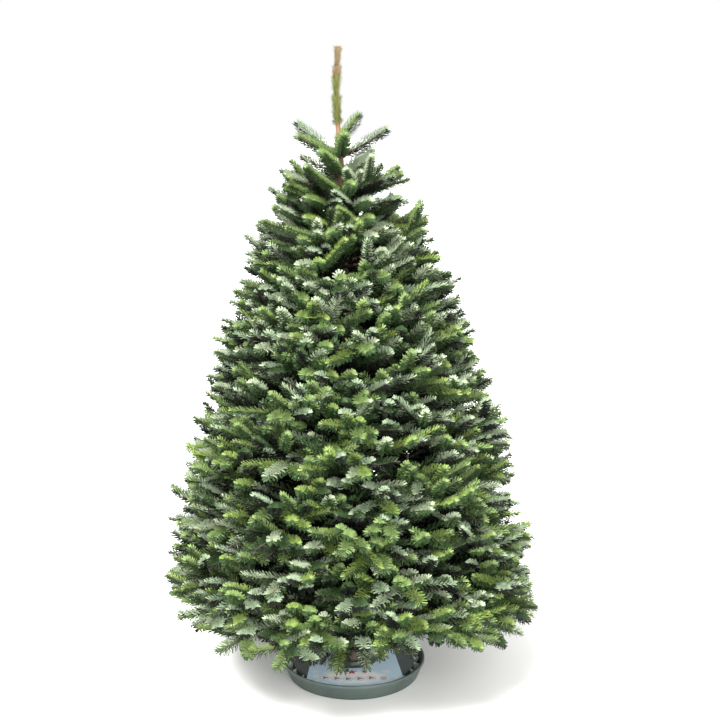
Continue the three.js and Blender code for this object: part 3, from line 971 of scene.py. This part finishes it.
def make_fins(material, edge, shelf, wall_foot):
    """24 fins, each a wedge from the plate's edge to the wall, 1.6 mm thick with a narrower upper edge."""
    count, thick = 24, 0.8 * MM
    side = np.array([
        [edge + 0.4 * MM, 5 * MM],
        [wall_foot - 1 * MM, 5 * MM],
        [wall_foot + 8 * MM, shelf - 5 * MM],
        [edge + 0.4 * MM, shelf - 1 * MM],
    ])
    half = np.array([thick, thick, 0.6 * thick, 0.6 * thick])
    turn = (np.arange(count) + 0.5) * 2 * np.pi / count
    out = np.stack([np.cos(turn), np.sin(turn), np.zeros(count)], 1)
    across = np.stack([-np.sin(turn), np.cos(turn), np.zeros(count)], 1)
    middle = out[:, None] * side[:, :1] + UP * side[:, 1:]
    offset = across[:, None] * half[:, None]
    points = np.concatenate([middle - offset, middle + offset], 1)
    quads = np.array([[0, 1, 2, 3], [7, 6, 5, 4], [0, 4, 5, 1], [1, 5, 6, 2], [2, 6, 7, 3], [3, 7, 4, 0]])
    faces = (np.arange(count)[:, None, None] * 8 + quads).reshape(-1, 4)
    piece = add_mesh("fins", points.reshape(-1, 3), [faces], material)
    bevel = piece.modifiers.new("edges", "BEVEL")
    bevel.width = 0.3 * MM
    bevel.segments = 2
    settle(piece, "stand_plastic", "stand_ribs")


# --- Printed card -----------------------------------------


def card_outline(turn):
    """How far the card reaches from the trunk's centre in each direction: the nearest of its front arc, its
    two slanting sides and its back edge, less a half-round notch in the front edge."""
    corners = corners_of("stand_card")
    edge = np.hypot(corners[:, 0], corners[:, 1]).max()
    back = corners[:, 1].max()
    front = corners[np.hypot(corners[:, 0], corners[:, 1]) > edge - 0.5 * MM]
    rear = corners[corners[:, 1] > back - 0.5 * MM]
    reach = np.full_like(turn, edge)
    direction = np.stack([np.cos(turn), np.sin(turn)], 1)
    sides = [
        (front[front[:, 0].argmin()], rear[rear[:, 0].argmin()]),
        (rear[rear[:, 0].argmax()], front[front[:, 0].argmax()]),
    ]
    edges = [(b[:2] - a[:2], a[:2]) for a, b in sides] + [(np.array([-1.0, 0.0]), np.array([0.0, back]))]
    for run, point in edges:
        normal = unit(np.array([-run[1], run[0]]))
        normal = normal if normal @ point > 0 else -normal
        facing = direction @ normal
        limit = np.where(facing > 1e-6, (normal @ point) / np.maximum(facing, 1e-6), np.inf)
        reach = np.minimum(reach, limit)
    notch, notch_bearing = 8 * MM, math.radians(265)
    off = edge * np.sin(turn - notch_bearing)
    inside = (np.abs(off) < notch) & (np.sin(turn) < 0)
    return np.where(inside, reach - np.sqrt(np.maximum(notch**2 - off**2, 0)), reach)


def card_height(x, y):
    """The card's lie: nearly flat on the plate, in long shallow waves, its front edge lifted a little."""
    return 0.25 * MM * np.sin(31 * x + 1) * np.cos(23 * y) + 0.5 * MM * np.clip((-y - 0.13) / 0.05, 0, 1)


def make_card():
    """A sheet 0.5 mm thick on a grid of directions and distances, from its round slot about the collar to
    its outline. The straight back edge, 60 mm behind the trunk's centre, cuts the slot open."""
    low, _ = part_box("stand_card")
    slot, back = 64 * MM, 60 * MM
    gap = math.asin(back / slot)
    turn = np.linspace(math.pi - gap, 2 * math.pi + gap, 361)
    share = np.linspace(0, 1, 25)
    distance = slot + (card_outline(turn)[:, None] - slot) * share
    x, y = distance * np.cos(turn)[:, None], distance * np.sin(turn)[:, None]
    face = np.stack([x, y, low.z + 0.3 * MM + card_height(x, y)], -1)
    rows, columns = len(turn), len(share)
    count = rows * columns
    points = np.concatenate([face.reshape(-1, 3), face.reshape(-1, 3) - UP * 0.5 * MM])
    top = grid_faces(rows, columns, False)[:, ::-1]
    grid = np.arange(count).reshape(rows, columns)
    border = np.concatenate([grid[0], grid[1:, -1], grid[-1, -2::-1], grid[-2:0:-1, 0]])
    onward = np.roll(border, -1)
    rim = np.stack([border, onward, onward + count, border + count], 1)
    piece = add_mesh("card", points, [top, top[:, ::-1] + count, rim], coated_card())
    welded(piece)
    settle(piece, "card", "stand_card")
    make_print(low.z + 0.62 * MM)


def flat_shapes(name, outlines, height, colour):
    """Thin flat prints on the card: each outline is a fan of triangles about its own middle."""
    points, faces, first = [], [], 0
    for outline in outlines:
        middle = outline.mean(0)
        ring = np.concatenate([middle[None], outline])
        points.append(np.column_stack([ring, height + card_height(ring[:, 0], ring[:, 1])]))
        around = np.arange(1, len(outline) + 1)
        faces.append(fan(around, 0)[:, [2, 0, 1]] + first)
        first += len(ring)
    piece = add_mesh(name, np.concatenate(points), [np.concatenate(faces)], plain_ink(name + "_ink", colour))
    settle(piece, "card")


def disc(x, y, radius, points=28, wave=0.0, lobes=6):
    """A round outline, or a star of lobes where its radius waves."""
    turn = np.linspace(0, 2 * np.pi, points, endpoint=False)
    reach = radius * (1 + wave * np.cos(lobes * turn))
    return np.stack([x + reach * np.cos(turn), y + reach * np.sin(turn)], 1)


def star(x, y, radius):
    """A five-pointed star: ten corners, with every second one drawn in."""
    turn = np.linspace(0, 2 * np.pi, 10, endpoint=False) + np.pi / 2
    reach = radius * np.where(np.arange(10) % 2, 0.45, 1)
    return np.stack([x + reach * np.cos(turn), y + reach * np.sin(turn)], 1)


def make_print(height):
    """A generic winter print: a row of ringed white discs with plain marks, snowflakes, three stars and a
    panel with a tinted middle. Each layer lies a little above the one it covers."""
    row = [(-0.074 + 0.03 * k, -0.124 - 0.004 * math.cos(k - 2)) for k in range(5)]
    marks = [disc(x, y, 0.0065, 24, 0.35, 3) for x, y in row]
    flat_shapes("print_rings", [disc(x, y, 0.0135) for x, y in row], height - 0.05 * MM, "#9fb9c4")
    flat_shapes("print_discs", [disc(x, y, 0.0125) for x, y in row], height + 0.05 * MM, "#f7f8f8")
    flat_shapes("print_marks", marks, height + 0.15 * MM, "#8c8577")
    spots = [(-0.098, -0.146), (0.098, -0.15), (0.112, -0.118)]
    spots += [(-0.098, -0.112), (0.086, -0.085), (-0.1, -0.085)]
    flakes = [disc(x, y, 0.0085, 48, 0.55, 6) for x, y in spots]
    flat_shapes("print_flakes", flakes, height, "#f4f9fc")
    panel = np.array([[0.071, -0.142], [0.093, -0.136], [0.088, -0.108], [0.067, -0.113]])
    tinted = panel.mean(0) + 0.68 * (panel - panel.mean(0))
    flat_shapes("print_panel", [panel], height, "#f2f1ec")
    flat_shapes("print_panel_tint", [tinted], height + 0.1 * MM, "#c9c4b8")
    stars = [star(-0.04, -0.082, 0.017), star(-0.004, -0.088, 0.014), star(0.03, -0.084, 0.011)]
    flat_shapes("print_stars", stars, height, "#c0454f")


# --- All together -----------------------------------------


def make_floor():
    """A wide flat floor under the tray."""
    half = 60.0
    points = np.array([[-half, -half, 0], [half, -half, 0], [half, half, 0], [-half, half, 0]])
    floor = add_mesh("floor", points - UP * 0.2 * MM, [np.array([[0, 1, 2, 3]])], pale_floor())


add_camera()
add_studio()
make_floor()
grow_masses()
grow_top()
grow_apron()
make_needles([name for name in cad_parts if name.startswith(("needles_", "top_shoot_", "leader_"))])
make_buds(bud_resin())
make_twigs(twig_bark())
bark = young_bark()
make_boughs(bark)
make_trunk(bark)
make_stand()
make_card()
